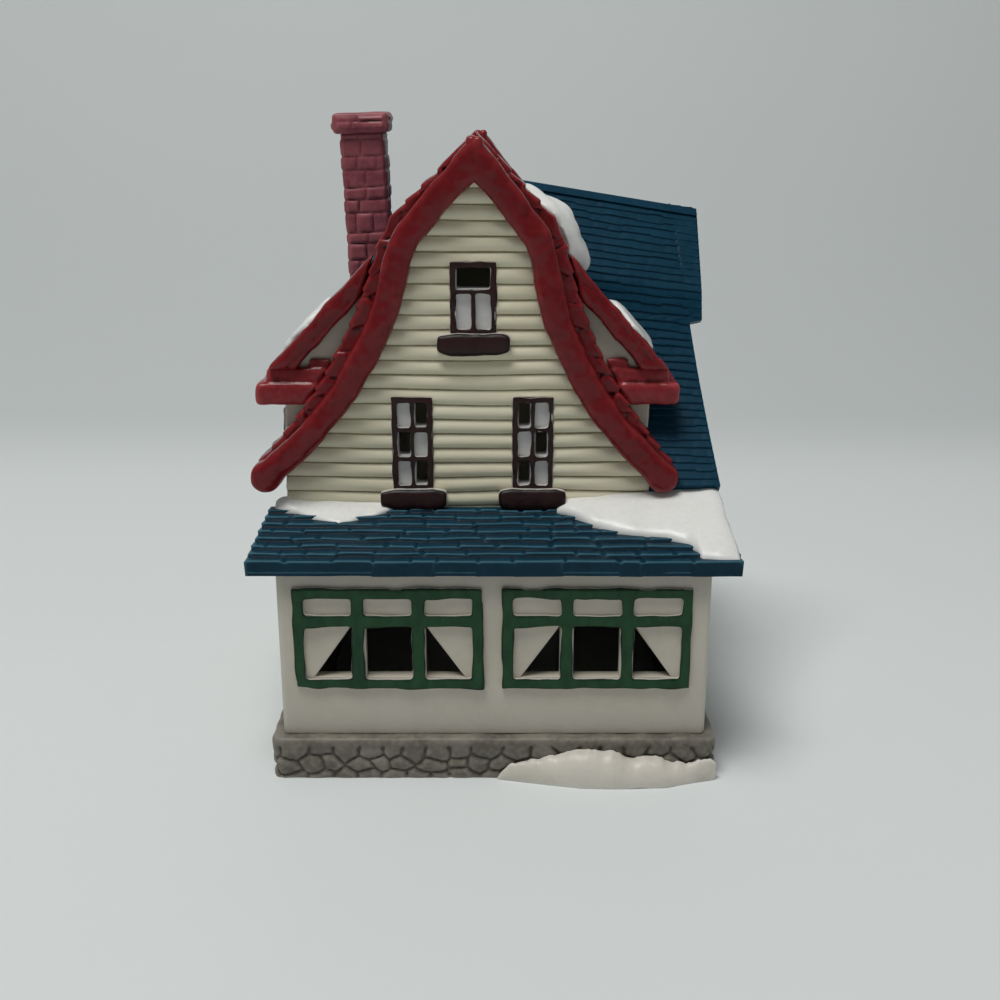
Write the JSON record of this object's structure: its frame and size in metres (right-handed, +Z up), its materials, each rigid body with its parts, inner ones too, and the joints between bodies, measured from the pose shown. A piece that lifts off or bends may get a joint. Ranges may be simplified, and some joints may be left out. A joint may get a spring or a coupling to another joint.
{
  "type": "lighted ceramic village house",
  "caption": "Hollow slip-cast ceramic christmas village house with flared front gable, glazed porch, shed dormers, side wing, chimney and a pull-out lamp behind.",
  "frame": {"origin": "middle of the floor footprint: under the centre of the bounding box, on the plane the foundation stands on", "axes": "+X to the viewer's right when facing the porch, +Y from the porch to the back, +Z up; the porch faces -Y"},
  "size_m": [0.1299, 0.133, 0.1728],
  "materials": {
    "frame_brown": "hand-painted dark brown",
    "pane_white": "pale grey-white gloss",
    "bulb_metal": "plain metal",
    "filament_metal": "bare wire on a glass stem",
    "bulb_clear": "clear glass",
    "brick_mauve": "mauve-red brick",
    "trim_red": "red-brown gloss",
    "roof_navy": "dark teal-navy gloss",
    "wall_white": "off-white gloss",
    "snow_white": "gloss white snow",
    "cream_boards": "cream gloss",
    "clip_steel": "spring steel",
    "lamp_plastic": "white plastic",
    "porch_green": "hand-painted dark green",
    "contact_brass": "brass",
    "stone_grey": "grey painted fieldstone with dark joints"
  },
  "bodies": {
    "house": {"attic_window_frame": "frame_brown", "attic_window_panel": "pane_white", "attic_window_sill": "frame_brown", "chimney_cap": "brick_mauve", "chimney_stack": "brick_mauve", "dormer_left_cornice": "trim_red", "dormer_left_roof": "roof_navy", "dormer_left_verge": "trim_red", "dormer_left_walls": "wall_white", "dormer_left_window": "frame_brown", "dormer_right_cornice": "trim_red", "dormer_right_roof": "roof_navy", "dormer_right_verge": "trim_red", "dormer_right_walls": "wall_white", "dormer_snow_left": "snow_white", "dormer_snow_right": "snow_white", "foundation_snow": "snow_white", "front_bargeboard_left": "trim_red", "front_bargeboard_right": "trim_red", "front_gable_wall": "cream_boards", "left_window_frame": "frame_brown", "left_window_panel": "pane_white", "left_window_sill": "frame_brown", "lower_walls": "wall_white", "main_roof_left": "roof_navy", "main_roof_right": "roof_navy", "porch_roof": "roof_navy", "porch_snow_left": "snow_white", "porch_snow_right": "snow_white", "porch_window_left": "porch_green", "porch_window_right": "porch_green", "rear_bargeboard_left": "trim_red", "rear_bargeboard_right": "trim_red", "rear_gable_wall": "cream_boards", "rear_window_frame": "frame_brown", "rear_window_panel": "pane_white", "right_window_frame": "frame_brown", "right_window_panel": "pane_white", "right_window_sill": "frame_brown", "roof_snow_right": "snow_white", "side_window_left": "frame_brown", "side_window_right": "frame_brown", "stone_foundation": "stone_grey", "verge_shingles_left": "trim_red", "verge_shingles_right": "trim_red", "wing_gable_hood": "roof_navy", "wing_gable_wall": "cream_boards", "wing_roof_front": "roof_navy", "wing_roof_rear": "roof_navy"},
    "lamp_holder": {"lamp_socket": "lamp_plastic", "lamp_clip": "clip_steel", "socket_shell": "contact_brass", "socket_contact": "contact_brass"},
    "bulb": {"bulb_glass": "bulb_clear", "bulb_base": "bulb_metal", "bulb_filament": "filament_metal"}
  },
  "joints": [
    {"name": "lamp_pull", "type": "slide", "parent": "house", "child": "lamp_holder", "axis": [0, 1, 0], "range_m": [0, 0.075]},
    {"name": "bulb_turn", "type": "hinge", "parent": "lamp_holder", "child": "bulb", "pos_m": [0, 0.0266, 0.0348], "axis": [0, -1, 0], "range_deg": [0, 1260]}
  ]
}
